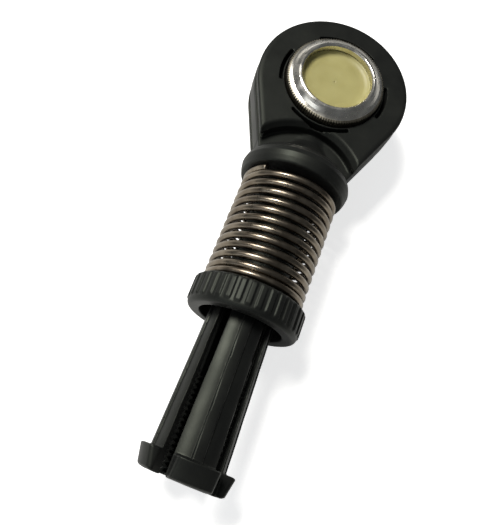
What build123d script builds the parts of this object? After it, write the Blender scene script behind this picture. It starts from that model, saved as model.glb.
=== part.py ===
"""Angle ball joint: snap-on cable end with a sprung lock collar. All lengths in mm.

Origin at the ball centre, +X along the shank to the cable, +Z out of the closed face.
"""
import math
import os

from build123d import *

os.makedirs("parts", exist_ok=True)

# --- ball socket -------------------------------------------------------------
ball_dia = 13.0            # standard 13 mm ball stud
ball_fit = 0.08            # spherical running clearance
snap_mouth_dia = ball_dia - 0.8   # the ball snaps past this edge
seat_outer_r = 8.8
seat_fit = 0.02            # seat pressed into the sleeve
sleeve_fit = 0.02          # sleeve moulded into the housing
sleeve_r = 9.98            # turned wall above the knurl
sleeve_knurl_r = 10.6
sleeve_knurl_top = 6.7
sleeve_shoulder_z = 7.5
sleeve_rim_r = 7.4
sleeve_rim_z = 8.85
sleeve_bottom_z = -6.9
sleeve_bottom_lip = 0.8
sleeve_bottom_r = 7.9
seat_top_z = 7.3           # closed face, recessed behind the rolled rim
lead_in_r = 7.3

# --- housing eye -------------------------------------------------------------
eye_r = 16.3
eye_half = 6.0
eye_taper = 23.0           # half angle of the tapered flanks
eye_end_x = 20.6
face_round = (1.1, 0.5)    # rounded border of each face, width and depth
flank_groove_w = 2.0
flank_groove_z = 2.2
flank_groove_depth = 0.9
arch_r = 13.4              # arched lower end of both face plates
arch_x = 24.5
web_half = 3.6
slot_r = 11.4              # four slots cored round the sleeve
slot_w = 0.75
slot_depth = 3.2
slot_long = 63.0
slot_short = 38.0

# --- neck, flange and shank --------------------------------------------------
neck_x = 12.4
neck_r = 4.9
flange_x = 19.5
flange_seat_x = 24.4
flange_r = 11.4
flange_top_r = 9.85
flange_seat_r = 10.8
shank_r = 6.05             # over the ribs, at the root of the jaws
shank_end_r = 6.98         # over the ribs, at the feet
shank_root_x = 46.0
rib_w = 1.9
rib_h = 0.35
jaw_slot_w = 2.3
jaw_turn = 6.5               # ribs and cuts are set round from the eye by this angle
feet_turn = 10.5
jaw_slot_x = 44.0
rod_bore_r = 4.1             # pilot bore, above the jaws
rod_bore_x = 29.0
rod_relief_r = 4.95          # clear of the rod from the root of the jaws to the teeth
rod_relief_end = 65.2
tooth_crest_r = 4.45
tooth_depth = 0.8
tooth_pitch = 1.04
tooth_count = 17
foot_x = 79.6
foot_end_x = 83.4
foot_r = 8.7
foot_end_r = 7.95
foot_half_w = 3.9

# --- spring ------------------------------------------------------------------
spring_r = 10.0
wire_r = 0.7
turns_top = 1.0
turns_active = 9.9
turns_bottom = 1.3
closed_pitch = 2 * wire_r + 0.03
spring_start_deg = 134.0   # cut end, seen front left

# --- lock collar -------------------------------------------------------------
collar_x = 48.6
collar_len = 5.8
collar_r = 10.85
collar_rib_h = 0.25
collar_rib_w = 1.05
collar_ribs = 36
collar_rib_end = 53.3
collar_top_round = 0.4
collar_base_round = 1.0
collar_hole_r = 8.2
collar_guide_r = 7.3
collar_guide_len = 1.8
collar_mark_deg = 14.0
collar_mark = (0.45, 0.3)  # index notch in the end face, width and depth


def eye_outline(radius):
    """Round eye with two tangent flanks running down to the shank."""
    a = math.radians(eye_taper)
    tx, ty = radius * math.sin(a), radius * math.cos(a)
    end_y = (radius - eye_end_x * math.sin(a)) / math.cos(a)
    with BuildSketch() as outline:
        Circle(radius)
        with BuildLine():
            Polyline((tx, ty), (eye_end_x, end_y), (eye_end_x, -end_y), (tx, -ty), close=True)
        make_face()
    return outline.sketch


def cross_section(width, turn):
    """Four-armed cross seen along the shank, set round by an angle."""
    with BuildSketch(Plane.YZ) as cross:
        Rectangle(width, 40, rotation=-turn)
        Rectangle(40, width, rotation=-turn)
    return cross.sketch


# --- housing -----------------------------------------------------------------
with BuildPart() as ribs:
    with BuildSketch(Plane.XY):
        with BuildLine():
            Polyline((flange_x + 2, 0), (flange_x + 2, shank_r), (shank_root_x, shank_r),
                     (foot_x + 0.5, shank_end_r), (foot_x + 0.5, 0), close=True)
        make_face()
    revolve(axis=Axis.X)
    with BuildSketch(Plane.YZ):
        add(cross_section(rib_w, jaw_turn))
    extrude(amount=foot_end_x, mode=Mode.INTERSECT)

with BuildPart() as feet:
    with BuildSketch(Plane.XY):
        with BuildLine():
            Polyline((foot_x, 5.6), (foot_x, foot_r - 0.2), (foot_x + 0.2, foot_r),
                     (foot_end_x - 0.4, foot_end_r), (foot_end_x, foot_end_r - 0.4),
                     (foot_end_x, 5.6), close=True)
        make_face()
    revolve(axis=Axis.X)
    with BuildSketch(Plane.YZ):
        add(cross_section(2 * foot_half_w, feet_turn))
    extrude(amount=foot_end_x, mode=Mode.INTERSECT)

with BuildPart() as housing:
    # eye, with a rounded border on both faces
    with BuildSketch():
        add(eye_outline(eye_r - face_round[0]))
    extrude(amount=eye_half, both=True)
    with BuildSketch():
        add(eye_outline(eye_r))
    extrude(amount=eye_half - face_round[1], both=True)
    # core-out grooves round the flank
    for z in (flank_groove_z, -flank_groove_z - flank_groove_w):
        with BuildSketch(Plane.XY.offset(z)):
            add(eye_outline(eye_r + 3))
            add(eye_outline(eye_r - flank_groove_depth), mode=Mode.SUBTRACT)
        extrude(amount=flank_groove_w, mode=Mode.SUBTRACT)
    # both face plates end in an arch, the thinner web runs on
    for z, side in ((web_half, 1), (-web_half, -1)):
        with BuildSketch(Plane.XY.offset(z)):
            with Locations((arch_x, 0)):
                Circle(arch_r)
        extrude(amount=side * eye_half, mode=Mode.SUBTRACT)
    # neck and flange
    with BuildSketch():
        with BuildLine():
            Line((neck_x - 2, 0), (neck_x - 2, neck_r))
            Line((neck_x - 2, neck_r), (neck_x, neck_r))
            ThreePointArc((neck_x, neck_r), (neck_x + 4.6, neck_r + 1.5), (flange_x, flange_top_r))
            ThreePointArc((flange_x, flange_top_r), (flange_x + 2.6, flange_r),
                          (flange_seat_x, flange_seat_r))
            Line((flange_seat_x, flange_seat_r), (flange_seat_x, 0))
            Line((flange_seat_x, 0), (neck_x - 2, 0))
        make_face()
    revolve(axis=Axis.X)
    # shank: plain cone, its four ribs and the feet
    with BuildSketch():
        with BuildLine():
            Polyline((flange_x + 2, 0), (flange_x + 2, shank_r - rib_h),
                     (shank_root_x, shank_r - rib_h), (foot_x, shank_end_r - rib_h),
                     (foot_end_x, shank_end_r - rib_h), (foot_end_x, 0), close=True)
        make_face()
    revolve(axis=Axis.X)
    add(ribs.part)
    add(feet.part)
    # rod bore, annular teeth and the lead-in
    with BuildSketch():
        with BuildLine():
            Polyline((rod_bore_x, 0), (rod_bore_x, rod_bore_r), (jaw_slot_x, rod_bore_r),
                     (jaw_slot_x, rod_relief_r), (rod_relief_end, rod_relief_r),
                     (rod_relief_end, tooth_crest_r), (foot_end_x - 0.5, tooth_crest_r),
                     (foot_end_x, tooth_crest_r + 0.5), (foot_end_x, 0), close=True)
        make_face()
    revolve(axis=Axis.X, mode=Mode.SUBTRACT)
    with BuildSketch():
        for i in range(tooth_count):
            x = rod_relief_end + 0.25 + i * tooth_pitch
            with BuildLine():
                Polyline((x, tooth_crest_r - 0.2), (x, tooth_crest_r),
                         (x + tooth_pitch / 2, tooth_crest_r + tooth_depth),
                         (x + tooth_pitch - 0.12, tooth_crest_r),
                         (x + tooth_pitch - 0.12, tooth_crest_r - 0.2), close=True)
            make_face()
    revolve(axis=Axis.X, mode=Mode.SUBTRACT)
    # two crossed saw cuts part the shank into four jaws
    for angle in (45 - jaw_turn, 135 - jaw_turn):
        with BuildSketch(Plane.YZ.offset(jaw_slot_x)):
            Rectangle(jaw_slot_w, 40, rotation=angle)
        extrude(amount=foot_end_x, mode=Mode.SUBTRACT)
    # bore for the sleeve, and four cored slots on each face
    with BuildSketch():
        Circle(sleeve_knurl_r + sleeve_fit)
    extrude(amount=eye_half + 1, both=True, mode=Mode.SUBTRACT)
    for z, side in ((eye_half, -1), (-eye_half, 1)):
        with BuildSketch(Plane.XY.offset(z)):
            for centre, span in ((0, slot_long), (90, slot_short),
                                 (180, slot_long), (270, slot_short)):
                path = CenterArc((0, 0), slot_r, centre - span / 2, span, mode=Mode.PRIVATE)
                SlotArc(path, slot_w)
        extrude(amount=side * slot_depth, mode=Mode.SUBTRACT)

# --- socket sleeve -----------------------------------------------------------
with BuildPart() as sleeve:
    with BuildSketch(Plane.XZ):
        with BuildLine():
            Polyline((seat_outer_r, seat_top_z), (seat_outer_r, sleeve_bottom_z + sleeve_bottom_lip),
                     (sleeve_bottom_r, sleeve_bottom_z + sleeve_bottom_lip),
                     (sleeve_bottom_r, sleeve_bottom_z), (sleeve_r - 0.3, sleeve_bottom_z),
                     (sleeve_r, sleeve_bottom_z + 0.3), (sleeve_r, -eye_half),
                     (sleeve_knurl_r, -eye_half), (sleeve_knurl_r, sleeve_knurl_top - 0.15),
                     (sleeve_knurl_r - 0.15, sleeve_knurl_top), (sleeve_r, sleeve_knurl_top),
                     (sleeve_r, sleeve_shoulder_z))
            ThreePointArc((sleeve_r, sleeve_shoulder_z), (sleeve_r - 0.62, sleeve_shoulder_z + 0.85),
                          (sleeve_rim_r + 0.7, sleeve_rim_z))
            ThreePointArc((sleeve_rim_r + 0.7, sleeve_rim_z), (sleeve_rim_r + 0.2, sleeve_rim_z - 0.1),
                          (sleeve_rim_r, sleeve_rim_z - 0.45))
            Polyline((sleeve_rim_r, sleeve_rim_z - 0.45), (sleeve_rim_r, seat_top_z),
                     (seat_outer_r, seat_top_z))
        make_face()
    revolve(axis=Axis.Z)

# --- ball seat ---------------------------------------------------------------
cavity_r = ball_dia / 2 + ball_fit / 2
mouth_z = -math.sqrt(cavity_r ** 2 - (snap_mouth_dia / 2) ** 2)
seat_bottom_z = sleeve_bottom_z + sleeve_bottom_lip + seat_fit
with BuildPart() as seat:
    with BuildSketch(Plane.XZ):
        with BuildLine():
            Polyline((0, seat_top_z - seat_fit), (seat_outer_r - seat_fit, seat_top_z - seat_fit),
                     (seat_outer_r - seat_fit, seat_bottom_z), (lead_in_r, seat_bottom_z),
                     (snap_mouth_dia / 2, mouth_z))
            CenterArc((0, 0), cavity_r, math.degrees(math.atan2(mouth_z, snap_mouth_dia / 2)),
                      90 - math.degrees(math.atan2(mouth_z, snap_mouth_dia / 2)))
            Line((0, cavity_r), (0, seat_top_z - seat_fit))
        make_face()
    revolve(axis=Axis.Z)

# --- spring ------------------------------------------------------------------
coil_r = spring_r - wire_r
spring_from = flange_seat_x + wire_r + 0.02
spring_to = collar_x - wire_r - 0.02
active_pitch = (spring_to - spring_from - closed_pitch * (turns_top + turns_bottom)) / turns_active
turns = turns_top + turns_active + turns_bottom


def wire_x(t):
    """Place along X of the wire centre after t turns: closed, active, closed."""
    return (spring_from + closed_pitch * min(t, turns_top)
            + active_pitch * min(max(t - turns_top, 0), turns_active)
            + closed_pitch * max(t - turns_top - turns_active, 0))


def wire_point(t):
    a = math.radians(spring_start_deg + 360 * t)
    return (wire_x(t), coil_r * math.cos(a), coil_r * math.sin(a))


with BuildPart() as spring:
    steps = round(turns * 20)
    with BuildLine() as wire:
        Spline(*[wire_point(turns * i / steps) for i in range(steps + 1)])
    with BuildSketch(Plane(wire.line @ 0, z_dir=wire.line % 0)):
        Circle(wire_r)
    sweep(path=wire.line, is_frenet=True)

# --- lock collar -------------------------------------------------------------
collar_end = collar_x + collar_len
with BuildPart() as collar:
    with BuildSketch():
        with BuildLine():
            Line((collar_x, collar_guide_r), (collar_x, collar_r - collar_top_round))
            RadiusArc((collar_x, collar_r - collar_top_round), (collar_x + collar_top_round, collar_r),
                      collar_top_round)
            Line((collar_x + collar_top_round, collar_r), (collar_end - collar_base_round, collar_r))
            RadiusArc((collar_end - collar_base_round, collar_r), (collar_end, collar_r - collar_base_round),
                      collar_base_round)
            Polyline((collar_end, collar_r - collar_base_round), (collar_end, collar_hole_r),
                     (collar_x + collar_guide_len, collar_hole_r),
                     (collar_x + collar_guide_len, collar_guide_r), (collar_x, collar_guide_r))
        make_face()
    revolve(axis=Axis.X)
    # grip ribs, stopping short of the smooth lower band
    with BuildSketch(Plane.YZ.offset(collar_x + collar_top_round)):
        with PolarLocations(collar_r - 0.2, collar_ribs):
            with Locations(((collar_rib_h + 0.2) / 2, 0)):
                Rectangle(collar_rib_h + 0.2, collar_rib_w)
    extrude(amount=collar_rib_end - collar_x - collar_top_round)
    # index notches across the end face
    with BuildSketch(Plane.YZ.offset(collar_end - collar_mark[1])):
        Rectangle(40, collar_mark[0], rotation=collar_mark_deg)
    extrude(amount=2, mode=Mode.SUBTRACT)

# --- export ------------------------------------------------------------------
for name, body in (("housing", housing), ("socket_sleeve", sleeve), ("ball_seat", seat),
                   ("spring", spring), ("locking_collar", collar)):
    body.part.label = name
    export_step(body.part, f"parts/{name}.step")
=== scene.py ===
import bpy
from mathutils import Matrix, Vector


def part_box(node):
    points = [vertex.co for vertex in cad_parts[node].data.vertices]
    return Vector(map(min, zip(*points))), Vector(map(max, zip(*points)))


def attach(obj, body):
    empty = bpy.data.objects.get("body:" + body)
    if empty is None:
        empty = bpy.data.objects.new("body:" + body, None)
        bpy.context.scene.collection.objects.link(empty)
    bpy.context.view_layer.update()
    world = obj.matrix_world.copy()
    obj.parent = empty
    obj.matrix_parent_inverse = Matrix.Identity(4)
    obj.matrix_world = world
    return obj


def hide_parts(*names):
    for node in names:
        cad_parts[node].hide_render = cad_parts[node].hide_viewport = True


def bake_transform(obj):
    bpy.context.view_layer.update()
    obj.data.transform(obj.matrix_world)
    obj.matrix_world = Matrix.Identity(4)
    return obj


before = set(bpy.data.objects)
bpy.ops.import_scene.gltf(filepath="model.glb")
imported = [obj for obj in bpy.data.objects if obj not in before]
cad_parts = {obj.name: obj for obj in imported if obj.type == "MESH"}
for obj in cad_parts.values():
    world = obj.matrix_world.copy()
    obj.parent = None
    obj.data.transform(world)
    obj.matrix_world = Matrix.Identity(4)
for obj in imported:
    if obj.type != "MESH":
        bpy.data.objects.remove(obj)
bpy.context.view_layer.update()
import math
import bpy
import numpy as np
from mathutils import Matrix, Vector

MM = 0.001

# ---------------------------------------------------------------- camera
scene = bpy.context.scene
camera_data = bpy.data.cameras.new("camera")
camera = bpy.data.objects.new("camera", camera_data)
scene.collection.objects.link(camera)
right = Vector((-0.35885, 0.92292, 0.13946))
up = Vector((-0.86202, -0.38499, 0.32971))
back = right.cross(up).normalized()
eye_point = Vector((80.80, -9.42, 105.60)) * MM
camera.matrix_world = (Matrix.Translation(eye_point)
                       @ Matrix((right, up, back)).transposed().to_4x4())
camera_data.sensor_fit = "HORIZONTAL"
camera_data.sensor_width = 36.0
camera_data.lens = 41.66
camera_data.shift_x = 0.0578
camera_data.shift_y = -0.0436
camera_data.clip_start = 0.005
camera_data.clip_end = 20.0
scene.camera = camera
scene.view_settings.view_transform = "Standard"


# ---------------------------------------------------------------- mesh helpers
def mesh_object(name, points, faces, normals=None, attributes=None):
    """points in millimetres, faces as index rows"""
    mesh = bpy.data.meshes.new(name)
    mesh.from_pydata((np.asarray(points) * MM).tolist(), [], [list(map(int, f)) for f in faces])
    mesh.update()
    mesh.polygons.foreach_set("use_smooth", [True] * len(mesh.polygons))
    for key, values in (attributes or {}).items():
        layer = mesh.attributes.new(key, "FLOAT", "POINT")
        layer.data.foreach_set("value", np.asarray(values, np.float32))
    if normals is not None:
        mesh.normals_split_custom_set_from_vertices(np.asarray(normals).tolist())
    thing = bpy.data.objects.new(name, mesh)
    scene.collection.objects.link(thing)
    return thing


def smin(a, b, r):
    """union with a round fillet of radius r"""
    u, v = np.maximum(r - a, 0), np.maximum(r - b, 0)
    return np.maximum(r, np.minimum(a, b)) - np.sqrt(u * u + v * v)


def smax(a, b, r):
    """intersection with a round edge of radius r"""
    return -smin(-a, -b, r)


def slope(field, p, h=0.02):
    g = np.empty_like(p)
    for k in range(3):
        q = p.copy()
        q[:, k] += h
        hi = field(q[:, 0], q[:, 1], q[:, 2])
        q[:, k] -= 2 * h
        g[:, k] = (hi - field(q[:, 0], q[:, 1], q[:, 2])) / (2 * h)
    return g


def skin(name, field, xs, ys, zs):
    """closed mesh of field = 0: one point in each cell the surface crosses, moved onto it"""
    axes = (np.asarray(xs, float), np.asarray(ys, float), np.asarray(zs, float))
    value = field(*np.meshgrid(*axes, indexing="ij"))
    inside = value < 0
    nx, ny, nz = (len(a) - 1 for a in axes)
    count = np.zeros((nx, ny, nz), np.int8)
    for i in (0, 1):
        for j in (0, 1):
            for k in (0, 1):
                count += inside[i:i + nx, j:j + ny, k:k + nz]
    cells = np.argwhere((count > 0) & (count < 8))
    index = np.full((nx, ny, nz), -1, np.int64)
    index[tuple(cells.T)] = np.arange(len(cells))
    total, hits = np.zeros((len(cells), 3)), np.zeros(len(cells))
    for axis in range(3):
        other = [k for k in range(3) if k != axis]
        for a in (0, 1):
            for b in (0, 1):
                start = cells.copy()
                start[:, other[0]] += a
                start[:, other[1]] += b
                end = start.copy()
                end[:, axis] += 1
                va, vb = value[tuple(start.T)], value[tuple(end.T)]
                cross = (va < 0) != (vb < 0)
                t = np.where(cross, va / np.where(cross, va - vb, 1), 0)
                pa = np.stack([axes[k][start[:, k]] for k in range(3)], 1)
                pb = np.stack([axes[k][end[:, k]] for k in range(3)], 1)
                total += np.where(cross[:, None], pa + t[:, None] * (pb - pa), 0)
                hits += cross
    p = total / hits[:, None]
    low = np.stack([axes[k][cells[:, k]] for k in range(3)], 1)
    high = np.stack([axes[k][cells[:, k] + 1] for k in range(3)], 1)
    slack = 0.15 * (high - low)
    for _ in range(4):
        g = slope(field, p)
        v = field(p[:, 0], p[:, 1], p[:, 2])
        p = p - g * (v / np.maximum((g * g).sum(1), 0.05))[:, None]
        p = np.clip(p, low - slack, high + slack)
    faces = []
    for axis in range(3):
        u, w = (axis + 1) % 3, (axis + 2) % 3
        a = np.moveaxis(inside, (axis, u, w), (0, 1, 2))
        grid = np.moveaxis(index, (axis, u, w), (0, 1, 2))
        change = a[1:, 1:-1, 1:-1] != a[:-1, 1:-1, 1:-1]
        at = np.argwhere(change)
        i, j, k = at.T
        quad = np.stack([grid[i, j, k], grid[i, j + 1, k], grid[i, j + 1, k + 1],
                         grid[i, j, k + 1]], 1)
        flip = ~a[i, j + 1, k + 1]
        quad[flip] = quad[flip][:, ::-1]
        faces.append(quad)
    faces = np.concatenate(faces)
    n = slope(field, p)
    n /= np.linalg.norm(n, axis=1)[:, None]
    return mesh_object(name, p, faces, n)


def steps(*spans):
    """grid lines: start, then (end, spacing) pairs"""
    out = [spans[0]]
    for end, gap in spans[1:]:
        n = max(1, round((end - out[-1]) / gap))
        out += list(np.linspace(out[-1], end, n + 1)[1:])
    return np.array(out)


# ---------------------------------------------------------------- housing
EYE_R, EYE_HALF, TAPER = 16.3, 6.0, math.radians(23.0)
FLANGE_SEAT, COLLAR_START = 24.4, 48.6
JAW_TURN, FOOT_TURN = math.radians(6.5), math.radians(10.5)
# face border, arch at the foot of each plate, flank grooves, web between the plates
BORDER, BORDER_DROP = 1.15, 0.5
ARCH_R, ARCH_X, ARCH_CHAMFER = 13.4, 24.5, 1.0
GROOVE_MID, GROOVE_HALF, GROOVE_DEPTH = 3.2, 1.0, 0.9
WEB_HALF, WEB_END = 2.9, 21.0
# neck and flange as (x, radius), and where the neck starts
NECK_START = 10.4
NECK_LINE = ((9, 3.3), (12.4, 3.3), (14, 3.7), (15.5, 4.6), (17, 6.2), (18.3, 8.0),
             (19.5, 9.85), (20.2, 10.55), (21.0, 11.1), (22.1, 11.4), (23.2, 11.2), (24.4, 10.8))
# sleeve bore and the slots round it, as (middle, span) in degrees
SLEEVE_BORE_R, SLOT_R, SLOT_HALF, SLOT_FLOOR = 10.62, 11.4, 0.375, 2.8
SLOTS = ((0, 63), (90, 38), (180, 63), (270, 38))
# shank: outside as (x, radius), ribs, feet
SHANK_START, SHANK_END = 23.6, 83.4
CONE_LINE = ((20, 5.7), (46, 5.7), (79.6, 6.63), (90, 6.63))
RIB_RISE, RIB_HALF = 0.36, 0.95
FOOT_START, FOOT_HALF = 79.6, 3.9
FOOT_LINE = ((79.6, 8.55), (79.8, 8.7), (83.0, 7.98), (83.4, 7.6))
# shank: pilot bore, relief, annular teeth, lead-in and the cuts between the jaws
PILOT_R, RELIEF_R, CREST_R = 4.1, 4.95, 4.45
PILOT_START, CUT_START, RELIEF_END = 29.0, 44.0, 65.2
TOOTH_START, TOOTH_END, TOOTH_PITCH, TOOTH_DEPTH = 65.45, 83.1, 1.04, 0.8
LEAD_START, CUT_HALF = 82.9, 1.15


def eye_distance(x, y):
    along = x * math.cos(TAPER) - np.abs(y) * math.sin(TAPER)
    return np.where(along < 0, np.hypot(x, y),
                    x * math.sin(TAPER) + np.abs(y) * math.cos(TAPER)) - EYE_R


def eye_field(x, y, z):
    az = np.abs(z)
    d = eye_distance(x, y)
    # arch cut at the foot of each plate, with a chamfered edge
    reach = ARCH_R - np.hypot(x - ARCH_X, y)
    arch = np.maximum(reach - ARCH_CHAMFER, (reach - (EYE_HALF - az) * 0.85) * 0.76)
    # border of both faces, rounded over
    rise = np.clip((d + BORDER) / BORDER, 0, 1)
    face = az - (EYE_HALF - BORDER_DROP * (1 - np.sqrt(np.maximum(1 - rise * rise, 0))))
    # flank grooves between the plates, none below the arch
    groove = smax(np.abs(az - GROOVE_MID) - GROOVE_HALF, -(d + GROOVE_DEPTH), 0.25)
    body = smax(d, face, 0.22)
    plate = smax(body, arch, 0.3)
    web = smax(d, az - WEB_HALF, 0.3)
    web = np.maximum(web, x - WEB_END)
    plate = smax(plate, -groove, 0.22)
    eye = smin(plate, web, 0.45)
    # neck and flange
    r = np.hypot(y, z)
    neck = (r - np.interp(x, *zip(*NECK_LINE))) * 0.8
    neck = smax(neck, x - FLANGE_SEAT, 0.25)
    neck = np.maximum(neck, NECK_START - x)
    eye = smin(eye, neck, 0.5)
    # bore for the sleeve, with its broken edge
    bore = SLEEVE_BORE_R - np.hypot(x, y)
    eye = smax(eye, bore, 0.18)
    # four slots round the sleeve on each face
    ang = np.arctan2(y, x)
    slot = None
    for centre, span in SLOTS:
        off = np.abs((ang - math.radians(centre) + math.pi) % (2 * math.pi) - math.pi)
        over = np.maximum(off - math.radians(span / 2), 0) * SLOT_R
        one = np.hypot(np.hypot(x, y) - SLOT_R, over) - SLOT_HALF
        slot = one if slot is None else np.minimum(slot, one)
    slot = np.maximum(slot, SLOT_FLOOR - az)
    return smax(eye, -slot, 0.12)


def turned(y, z, a):
    """(y, z) turned about the shank's axis by a"""
    return y * math.cos(a) - z * math.sin(a), y * math.sin(a) + z * math.cos(a)


def shank_field(x, y, z):
    r = np.hypot(y, z)
    jy, jz = turned(y, z, JAW_TURN)
    fy, fz = turned(y, z, FOOT_TURN)
    ay, az = np.abs(jy), np.abs(jz)
    fay, faz = np.abs(fy), np.abs(fz)
    cone = np.interp(x, *zip(*CONE_LINE))
    body = r - cone
    rib = smax(r - cone - RIB_RISE, np.minimum(ay, az) - RIB_HALF, 0.12)
    body = smin(body, rib, 0.12)
    foot_r = np.interp(x, *zip(*FOOT_LINE))
    foot = smax(r - foot_r, np.minimum(fay, faz) - FOOT_HALF, 0.5)
    foot = smax(foot, np.maximum(FOOT_START - x, x - SHANK_END), 0.35)
    body = smax(body, x - SHANK_END, 0.3)
    body = smin(body, foot, 0.3)
    # bore and annular teeth
    tooth = np.abs(((x - TOOTH_START) / TOOTH_PITCH) % 1.0 - 0.5) * 2
    teeth = np.where((x > TOOTH_START) & (x < TOOTH_END), TOOTH_DEPTH * (1 - tooth), 0)
    radius = np.where(x > RELIEF_END, CREST_R, np.where(x > CUT_START, RELIEF_R, PILOT_R))
    bore = radius + teeth - r
    bore = np.maximum(bore, PILOT_START - x)
    lead = (CREST_R + (x - LEAD_START) - r) * 0.707
    bore = np.where(x > LEAD_START, np.maximum(bore, lead), bore)
    body = smax(body, bore * 0.8, 0.1)
    # crossed cuts part the jaws
    cut = np.minimum(np.abs(jy - jz), np.abs(jy + jz)) * 0.7071 - CUT_HALF
    cut = np.maximum(cut, CUT_START - x)
    body = smax(body, -cut, 0.15)
    return np.maximum(body, SHANK_START - x)


eye = skin("housing_eye", eye_field, steps(-16.9, (24.9, 0.26)), steps(-16.9, (16.9, 0.26)),
           steps(-12.0, (-6.6, 0.3), (6.6, 0.22), (12.0, 0.3)))
shank = skin("housing_shank", shank_field,
             steps(23.2, (44.0, 0.5), (64.5, 0.35), (84.0, 0.17)), steps(-9.1, (9.1, 0.26)),
             steps(-9.1, (9.1, 0.26)))
for part in (eye, shank):
    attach(part, "joint_body")
    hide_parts("housing")


# ---------------------------------------------------------------- turned parts
def rounded(points, radii, n=5):
    """polyline in (r, z) with rounded corners"""
    out = []
    pts = [np.array(p, float) for p in points]
    for i, p in enumerate(pts):
        rad = radii[i] if i < len(radii) else 0
        if i in (0, len(pts) - 1) or rad <= 0:
            out.append(p)
            continue
        a, b = pts[i - 1] - p, pts[i + 1] - p
        la, lb = np.linalg.norm(a), np.linalg.norm(b)
        a, b = a / la, b / lb
        half = math.acos(np.clip(a @ b, -1, 1)) / 2
        cut = min(rad / math.tan(half), 0.49 * la, 0.49 * lb)
        rad = cut * math.tan(half)
        centre = p + (a + b) / np.linalg.norm(a + b) * rad / math.sin(half)
        s, e = p + a * cut - centre, p + b * cut - centre
        a0, a1 = math.atan2(s[1], s[0]), math.atan2(e[1], e[0])
        turn = (a1 - a0 + math.pi) % (2 * math.pi) - math.pi
        angles = [a0 + turn * k / n for k in range(n + 1)]
        out += [centre + rad * np.array((math.cos(a), math.sin(a))) for a in angles]
    return np.array(out)


def subdivide(profile, gap):
    """the profile with no step longer than gap"""
    out = [profile[0]]
    for a, b in zip(profile[:-1], profile[1:]):
        n = max(1, int(math.ceil(np.linalg.norm(b - a) / gap)))
        out += [a + (b - a) * (k + 1) / n for k in range(n)]
    return np.array(out)


def turn(name, profile, count, axis="z", shape=None, closed=False):
    """sweep an (r, along) profile; shape(r, along, angle) gives changed (r, along)"""
    profile = np.asarray(profile)
    m = len(profile)
    ang = np.linspace(0, 2 * math.pi, count, endpoint=False)
    rr = np.repeat(profile[:, 0][:, None], count, 1)
    zz = np.repeat(profile[:, 1][:, None], count, 1)
    aa = np.repeat(ang[None, :], m, 0)
    if shape:
        rr, zz = shape(rr, zz, aa)
    if axis == "z":
        pts = np.stack([rr * np.cos(aa), rr * np.sin(aa), zz], -1)
    else:
        pts = np.stack([zz, rr * np.cos(aa), rr * np.sin(aa)], -1)
    pts = pts.reshape(-1, 3)
    rows = m if closed else m - 1
    i = np.repeat(np.arange(rows), count)
    j = np.tile(np.arange(count), rows)
    i2, j2 = (i + 1) % m, (j + 1) % count
    faces = np.stack([i * count + j, i * count + j2, i2 * count + j2, i2 * count + j], 1)
    return mesh_object(name, pts, faces)


RIM_Z = 8.85
sleeve_line = rounded(
    [(8.8, 7.2), (7.4, 7.2), (7.4, 8.55), (7.75, RIM_Z), (8.2, 8.75), (8.75, 8.3), (9.35, 7.7),
     (9.9, 7.45), (10.45, 7.2), (10.6, -6.0), (9.98, -6.0), (9.98, -6.9), (7.9, -6.9),
     (7.9, -6.1), (8.8, -6.1)],
    [0, 0, 0.15, 0.22, 0.3, 0.5, 0.35, 0.08, 0.12, 0.05, 0.05, 0.25, 0.15, 0.05])
sleeve_line = subdivide(sleeve_line, 0.35)
TEETH = 118


def knurl(r, z, a):
    """teeth cut into the band below the shoulder"""
    band = np.clip((r - 10.05) / 0.45, 0, 1) * (z > -6.05) * (z < 7.5)
    wave = np.abs(((a * TEETH / (2 * math.pi)) % 1) - 0.5) * 2
    return r - band * 0.34 * wave, z


sleeve = turn("socket_sleeve_turned", sleeve_line[::-1], TEETH * 6, shape=knurl, closed=True)
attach(sleeve, "joint_body")
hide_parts("socket_sleeve")

BALL, MOUTH_R = 6.54, 6.1
mouth = -math.sqrt(BALL ** 2 - MOUTH_R ** 2)
arc = [(BALL * math.cos(t), BALL * math.sin(t))
       for t in np.linspace(math.pi / 2 - 0.0001, math.atan2(mouth, MOUTH_R), 40)]
seat_line = [(0.0005, 6.55), (5.6, 6.55), (6.4, 6.62), (7.0, 6.85), (7.36, 7.15), (8.78, 7.17)]
seat_line = subdivide(np.array(seat_line, float), 0.4)
open_side = np.array([(8.78, -6.08), (7.3, -6.08), (6.15, mouth - 0.05)])
seat_line = np.concatenate([seat_line, open_side, np.array(arc)[::-1]])
seat = turn("ball_seat_moulded", seat_line[::-1], 192, closed=True)
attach(seat, "joint_body")
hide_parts("ball_seat")

# ---------------------------------------------------------------- spring
WIRE, COIL, GAP = 0.7, 9.3, 0.02
TOP, ACTIVE, BOTTOM, CLOSED = 1.0, 9.9, 1.3, 1.43
FROM, TO = FLANGE_SEAT + WIRE + GAP, COLLAR_START - WIRE - GAP
PITCH = (TO - FROM - CLOSED * (TOP + BOTTOM)) / ACTIVE
TURNS = TOP + ACTIVE + BOTTOM


def wire_along(t):
    """x of the wire after t turns: closed, active and closed turns"""
    return (FROM + CLOSED * np.minimum(t, TOP) + PITCH * np.clip(t - TOP, 0, ACTIVE)
            + CLOSED * np.maximum(t - TOP - ACTIVE, 0))


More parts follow.
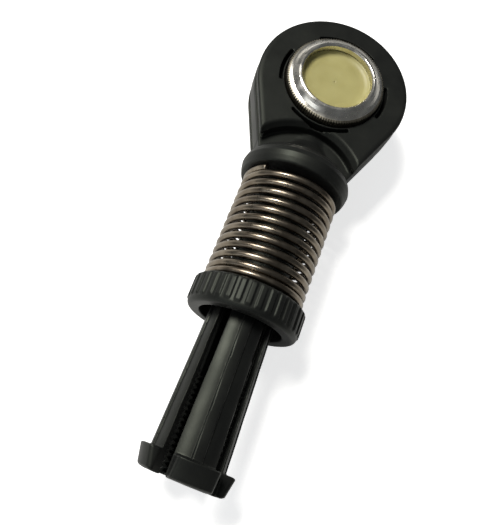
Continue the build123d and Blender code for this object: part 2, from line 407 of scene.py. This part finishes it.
def make_spring():
    count, sides = int(TURNS * 84), 18
    t = np.linspace(0, TURNS, count + 1)
    a = np.radians(134.0) + 2 * math.pi * t
    centre = np.stack([wire_along(t), COIL * np.cos(a), COIL * np.sin(a)], 1)
    tangent = np.gradient(centre, axis=0)
    tangent /= np.linalg.norm(tangent, axis=1)[:, None]
    out = np.stack([0 * a, np.cos(a), np.sin(a)], 1)
    side = np.cross(tangent, out)
    side /= np.linalg.norm(side, axis=1)[:, None]
    ring = np.linspace(0, 2 * math.pi, sides, endpoint=False)
    rings, weight = [], []
    w = np.clip((t - TOP) / ACTIVE, 0, 1)
    # flat sheared ends with a small broken edge
    order = [(0, 0.0, 0.0), (0, 0.9, 0.0), (0, 1.0, 0.07)]
    order += [(k, 1.0, 0.0) for k in range(1, count)]
    order += [(count, 1.0, -0.07), (count, 0.9, 0.0), (count, 0.0, 0.0)]
    for k, scale, shift in order:
        base = centre[k] + tangent[k] * shift
        rings.append(base + WIRE * scale * (np.cos(ring)[:, None] * out[k]
                                            + np.sin(ring)[:, None] * side[k]))
        weight += [w[k]] * sides
    pts = np.concatenate(rings)
    m = len(order)
    i = np.repeat(np.arange(m - 1), sides)
    j = np.tile(np.arange(sides), m - 1)
    j2 = (j + 1) % sides
    faces = np.stack([i * sides + j, (i + 1) * sides + j, (i + 1) * sides + j2, i * sides + j2], 1)
    thing = mesh_object("spring_wire", pts, faces)
    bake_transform(thing)
    return thing


spring = make_spring()
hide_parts("spring")

# ---------------------------------------------------------------- locking collar
C0, C1, CR, RIBS = COLLAR_START, 54.4, 10.85, 36
collar_line = rounded(
    [(7.3, C0), (CR, C0), (CR, C1), (8.2, C1), (8.2, C0 + 1.8), (7.3, C0 + 1.8)],
    [0.2, 0.4, 1.0, 0.25, 0.15, 0.15], 6)
collar_line = subdivide(collar_line, 0.3)


def ribs(r, x, a):
    """raised ribs round the outside, rounded off at the far end"""
    wave = np.abs(((a * RIBS / (2 * math.pi)) % 1) - 0.5) * 2 * math.pi * CR / RIBS
    top = 1 - np.clip((wave - 0.42) / 0.2, 0, 1)
    top = top * top * (3 - 2 * top)
    end = np.clip((53.35 - x) / 0.35, 0, 1)
    end = np.sqrt(1 - (1 - end) ** 2)
    on = (r > CR - 0.6) * np.clip((x - 48.75) / 0.3, 0, 1)
    return r + 0.25 * top * end * on, x


collar = turn("locking_collar_ribbed", collar_line, RIBS * 14, axis="x", shape=ribs,
              closed=True)
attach(collar, "collar_body")
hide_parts("locking_collar")


# ---------------------------------------------------------------- materials
def new_material(name):
    material = bpy.data.materials.new(name)
    material.use_nodes = True
    return material, material.node_tree.nodes, material.node_tree.links


def noise(nodes, links, scale, detail=3.0, stretch=None, rough=0.5):
    where = nodes.new("ShaderNodeTexCoord")
    source = where.outputs["Object"]
    if stretch:
        mapping = nodes.new("ShaderNodeMapping")
        mapping.inputs["Scale"].default_value = stretch
        links.new(source, mapping.inputs["Vector"])
        source = mapping.outputs["Vector"]
    node = nodes.new("ShaderNodeTexNoise")
    node.inputs["Scale"].default_value = scale
    node.inputs["Detail"].default_value = detail
    node.inputs["Roughness"].default_value = rough
    links.new(source, node.inputs["Vector"])
    return node.outputs["Fac"]


def ramp(nodes, links, source, stops):
    node = nodes.new("ShaderNodeValToRGB")
    items = node.color_ramp.elements
    while len(items) < len(stops):
        items.new(0.5)
    for item, (place, colour) in zip(items, stops):
        item.position = place
        item.color = (*colour, 1) if len(colour) == 3 else colour
    links.new(source, node.inputs["Fac"])
    return node.outputs["Color"]


def spread(nodes, links, source, low, high, out_low, out_high):
    node = nodes.new("ShaderNodeMapRange")
    node.inputs["From Min"].default_value = low
    node.inputs["From Max"].default_value = high
    node.inputs["To Min"].default_value = out_low
    node.inputs["To Max"].default_value = out_high
    links.new(source, node.inputs["Value"])
    return node.outputs["Result"]


def bump(nodes, links, shader, height, strength, distance, under=None):
    node = nodes.new("ShaderNodeBump")
    node.inputs["Strength"].default_value = strength
    node.inputs["Distance"].default_value = distance
    links.new(height, node.inputs["Height"])
    if under:
        links.new(under, node.inputs["Normal"])
    links.new(node.outputs["Normal"], shader.inputs["Normal"])
    return node.outputs["Normal"]


def plastic(name, dark, light, rough_low, rough_high, specular=0.22):
    material, nodes, links = new_material(name)
    shader = nodes["Principled BSDF"]
    cloud = noise(nodes, links, 220.0, 4.0)
    links.new(ramp(nodes, links, cloud, [(0.35, dark), (0.7, light)]), shader.inputs["Base Color"])
    smear = noise(nodes, links, 90.0, 5.0)
    links.new(spread(nodes, links, smear, 0.3, 0.7, rough_low, rough_high),
              shader.inputs["Roughness"])
    shader.inputs["Specular IOR Level"].default_value = specular
    shader.inputs["Specular Tint"].default_value = (0.93, 1.0, 0.84, 1)
    grain = noise(nodes, links, 2600.0, 3.0)
    first = bump(nodes, links, shader, grain, 0.12, 0.0001)
    wave = noise(nodes, links, 160.0, 2.0)
    bump(nodes, links, shader, wave, 0.12, 0.0006, first)
    return material


BLACK = (0.0055, 0.0058, 0.0060), (0.0095, 0.0100, 0.0095), 0.40, 0.54
black = plastic("black_nylon_moulded", *BLACK)
black_collar = plastic("black_collar_moulded", *BLACK)


def metal(name, dark, light, rough_low, rough_high, turning=0.15):
    material, nodes, links = new_material(name)
    shader = nodes["Principled BSDF"]
    shader.inputs["Metallic"].default_value = 1.0
    cloud = noise(nodes, links, 260.0, 4.0)
    links.new(ramp(nodes, links, cloud, [(0.3, dark), (0.75, light)]), shader.inputs["Base Color"])
    smear = noise(nodes, links, 500.0, 4.0)
    links.new(spread(nodes, links, smear, 0.3, 0.7, rough_low, rough_high),
              shader.inputs["Roughness"])
    lines = noise(nodes, links, 900.0, 3.0, (0.15, 0.15, 3.0))
    bump(nodes, links, shader, lines, turning, 0.0001)
    return material


steel = metal("turned_bright_steel", (0.66, 0.63, 0.56), (0.84, 0.82, 0.76), 0.2, 0.34)
# knurled band: the same steel painted darker and warmer, a painted shade standing in for the shade
# between the knurl's teeth
knurl_painted_shade = metal("steel_knurl_painted_shade", (0.16, 0.145, 0.11), (0.38, 0.35, 0.28), 0.35, 0.5)

wire, nodes, links = new_material("spring_steel_wire")
shader = nodes["Principled BSDF"]
shader.inputs["Metallic"].default_value = 1.0
cloud = noise(nodes, links, 300.0, 4.0)
links.new(ramp(nodes, links, cloud, [(0.3, (0.13, 0.105, 0.078)), (0.75, (0.27, 0.235, 0.185))]),
          shader.inputs["Base Color"])
links.new(spread(nodes, links, noise(nodes, links, 700.0, 4.0), 0.3, 0.7, 0.24, 0.38),
          shader.inputs["Roughness"])
bump(nodes, links, shader, noise(nodes, links, 1200.0, 2.0), 0.06, 0.00005)

nylon, nodes, links = new_material("natural_nylon_moulded")
shader = nodes["Principled BSDF"]
cloud = noise(nodes, links, 160.0, 4.0)
links.new(ramp(nodes, links, cloud, [(0.3, (0.29, 0.26, 0.095)), (0.75, (0.36, 0.33, 0.135))]),
          shader.inputs["Base Color"])
links.new(spread(nodes, links, noise(nodes, links, 300.0, 4.0), 0.3, 0.7, 0.42, 0.6),
          shader.inputs["Roughness"])
shader.inputs["Subsurface Weight"].default_value = 0.1
shader.inputs["Subsurface Radius"].default_value = (1.0, 0.8, 0.4)
shader.inputs["Subsurface Scale"].default_value = 0.0008
bump(nodes, links, shader, noise(nodes, links, 900.0, 3.0), 0.15, 0.00015)

for part, material in ((eye, black), (shank, black), (sleeve, steel), (seat, nylon),
                       (spring, wire), (collar, black_collar)):
    part.data.materials.append(material)
# faces of the knurled band take the darker steel, a painted shade
sleeve.data.materials.append(knurl_painted_shade)
for face in sleeve.data.polygons:
    middle = face.center / MM
    if math.hypot(middle.x, middle.y) > 9.92 and middle.z > -5.9:
        face.material_index = 1

# ---------------------------------------------------------------- floor, world, lights
FLOOR_HALF, FLOOR_DROP = 3.0, 0.0003
floor_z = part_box("housing")[0][2] - FLOOR_DROP
mesh = bpy.data.meshes.new("floor")
mesh.from_pydata([(x * FLOOR_HALF, y * FLOOR_HALF, floor_z)
                  for x, y in ((-1, -1), (1, -1), (1, 1), (-1, 1))], [], [(0, 1, 2, 3)])
floor = bpy.data.objects.new("floor", mesh)
scene.collection.objects.link(floor)
paper, nodes, links = new_material("white_table")
shader = nodes["Principled BSDF"]
shader.inputs["Base Color"].default_value = (0.75, 0.75, 0.74, 1)
shader.inputs["Roughness"].default_value = 0.9
shader.inputs["Specular IOR Level"].default_value = 0.0
paths = nodes.new("ShaderNodeLightPath")
# plain white to the camera, faint in reflections
seen = nodes.new("ShaderNodeMath")
seen.operation = "MAXIMUM"
links.new(paths.outputs["Is Glossy Ray"], seen.inputs[0])
links.new(paths.outputs["Is Transmission Ray"], seen.inputs[1])
glow = nodes.new("ShaderNodeMath")
glow.operation = "MULTIPLY"
glow.inputs[1].default_value = 0.72
links.new(paths.outputs["Is Camera Ray"], glow.inputs[0])
total = nodes.new("ShaderNodeMath")
total.operation = "MULTIPLY_ADD"
total.inputs[1].default_value = 0.12
links.new(seen.outputs[0], total.inputs[0])
links.new(glow.outputs[0], total.inputs[2])
shader.inputs["Emission Color"].default_value = (1, 1, 1, 1)
links.new(total.outputs[0], shader.inputs["Emission Strength"])
mesh.materials.append(paper)

world = bpy.data.worlds.new("room")
scene.world = world
world.use_nodes = True
nodes, links = world.node_tree.nodes, world.node_tree.links
background = nodes["Background"]
background.inputs["Color"].default_value = (0.9, 0.95, 1.0, 1)
paths = nodes.new("ShaderNodeLightPath")
level = nodes.new("ShaderNodeMapRange")
level.inputs["To Min"].default_value = 0.10
level.inputs["To Max"].default_value = 1.0
links.new(paths.outputs["Is Camera Ray"], level.inputs["Value"])
links.new(level.outputs["Result"], background.inputs["Strength"])


def lamp(name, place, target, size, watts, colour=(1, 1, 1)):
    data = bpy.data.lights.new(name, "AREA")
    data.shape = "RECTANGLE"
    data.size, data.size_y = size
    data.energy = watts
    data.color = colour
    thing = bpy.data.objects.new(name, data)
    scene.collection.objects.link(thing)
    thing.location = place
    aim = Vector(target) - Vector(place)
    thing.rotation_euler = aim.to_track_quat("-Z", "Y").to_euler()
    return thing


lamp("window", (-0.08, -0.25, 0.45), (0.03, 0, 0), (0.16, 0.16), 3.6, (1.0, 0.98, 0.94))
lamp("fill", (0.42, -0.26, 0.26), (0.03, 0, 0), (0.3, 0.3), 0.45, (0.92, 0.96, 1.0))
